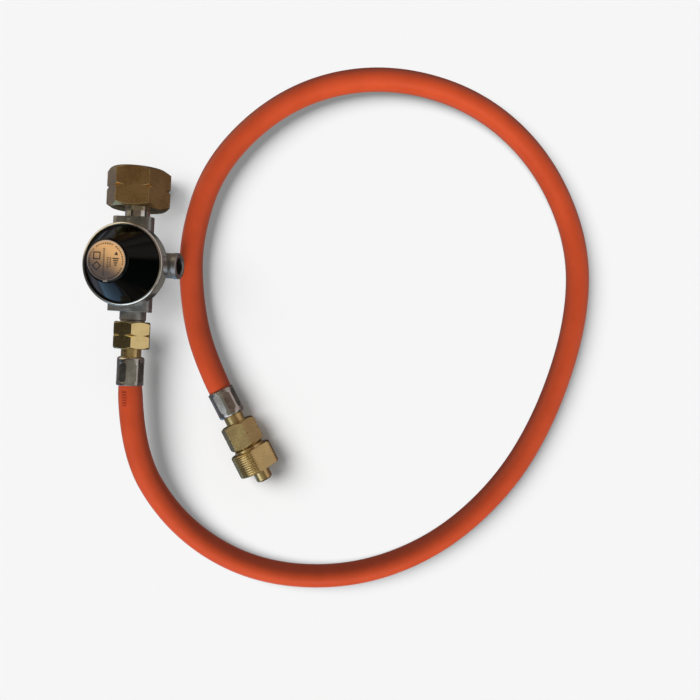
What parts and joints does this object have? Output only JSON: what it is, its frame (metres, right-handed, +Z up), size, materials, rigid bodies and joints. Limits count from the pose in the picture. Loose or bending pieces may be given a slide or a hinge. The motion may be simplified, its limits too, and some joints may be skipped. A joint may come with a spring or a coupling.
{
  "type": "propane regulator hose",
  "caption": "Low-pressure propane regulator with black cap, brass union nuts and an orange gas hose that ends in a ridged brass adapter.",
  "frame": {"origin": "on the surface it lies on, under the middle of the regulator's plan box (free hose and appliance end left out)", "axes": "+Y along the flow axis towards the bottle connection, +Z up, +X to the side of the test port and the hose loop; the regulator itself is rolled 11.5 degrees about +Y so that the cap leans to -X"},
  "size_m": [0.2882, 0.3042, 0.0508],
  "materials": {
    "cast_zinc": "die-cast, blasted, satin",
    "bright_zinc": "rolled bright",
    "black_plastic": "glossy black",
    "label_metal": null,
    "turned_alloy": "turned",
    "spring_steel": "zinc plated",
    "black_rubber": "matt",
    "blackened_steel": "blackened",
    "plain_steel": "zinc plated",
    "fitting_brass": "turned, slightly dull",
    "pale_brass": "bright milled faces",
    "dark_brass": "hot-pressed, dull brown",
    "plated_steel": "nickel plated",
    "sintered_bronze": "sintered",
    "ferrule_steel": "polished stainless, crimped",
    "orange_rubber": "fine cloth-textured rubber"
  },
  "bodies": {
    "regulator": {"regulator_body": "cast_zinc", "clamp_ring": "bright_zinc", "bonnet": "black_plastic", "rating_label": "label_metal", "adjusting_screw": "turned_alloy", "main_spring": "spring_steel", "diaphragm": "black_rubber", "lever_pin": "plain_steel", "valve_orifice": "fitting_brass", "inlet_stem": "plated_steel", "inlet_seal": "black_rubber", "inlet_filter": "sintered_bronze", "port_plug": "blackened_steel", "port_seal": "black_rubber", "hose_tail_regulator_end": "fitting_brass", "ferrule_regulator_end": "ferrule_steel", "hose": "orange_rubber", "ferrule_appliance_end": "ferrule_steel", "hose_tail_appliance_end": "fitting_brass", "appliance_adapter": "fitting_brass"},
    "bottle_nut": {"inlet_union_nut": "dark_brass"},
    "hose_nut": {"hose_nut_regulator_end": "pale_brass"},
    "appliance_nut": {"hose_nut_appliance_end": "fitting_brass"},
    "diaphragm_stack": {"diaphragm_plate": "plain_steel", "diaphragm_post": "fitting_brass", "relief_spring": "spring_steel", "relief_nut": "plain_steel"},
    "lever": {"lever": "plain_steel"},
    "plunger": {"valve_plunger": "fitting_brass", "seat_pad": "black_rubber"}
  },
  "joints": [
    {"name": "bottle_nut_turn", "type": "hinge", "parent": "regulator", "child": "bottle_nut", "pos_m": [-0.0008, 0.0513, 0.015], "axis": [0, 1, 0], "continuous": true},
    {"name": "hose_nut_turn", "type": "hinge", "parent": "regulator", "child": "hose_nut", "pos_m": [-0.0008, -0.0293, 0.015], "axis": [0, 1, 0], "continuous": true},
    {"name": "appliance_nut_turn", "type": "hinge", "parent": "regulator", "child": "appliance_nut", "pos_m": [0.06264, -0.08218, 0.0118], "axis": [0.4924, -0.8704, 0], "continuous": true},
    {"name": "diaphragm_lift", "type": "slide", "parent": "regulator", "child": "diaphragm_stack", "axis": [-0.1994, 0, 0.9799], "range_m": [0, 0.0016], "stiffness_N_per_m": 1500, "springref_m": -0.003, "deforming": ["main_spring", "diaphragm"]},
    {"name": "lever_swing", "type": "hinge", "parent": "regulator", "child": "lever", "pos_m": [-0.0021, -0.0003, 0.02137], "axis": [0.9799, 0, 0.1994], "range_deg": [0, 10.4]},
    {"name": "plunger_slide", "type": "slide", "parent": "regulator", "child": "plunger", "axis": [0, 1, 0], "range_m": [0, 0.00117]}
  ],
  "couplings": [
    {"joint": "lever_swing", "follows": "diaphragm_lift", "rad_per_m": 111.11},
    {"joint": "plunger_slide", "follows": "diaphragm_lift", "ratio": 0.72222}
  ]
}
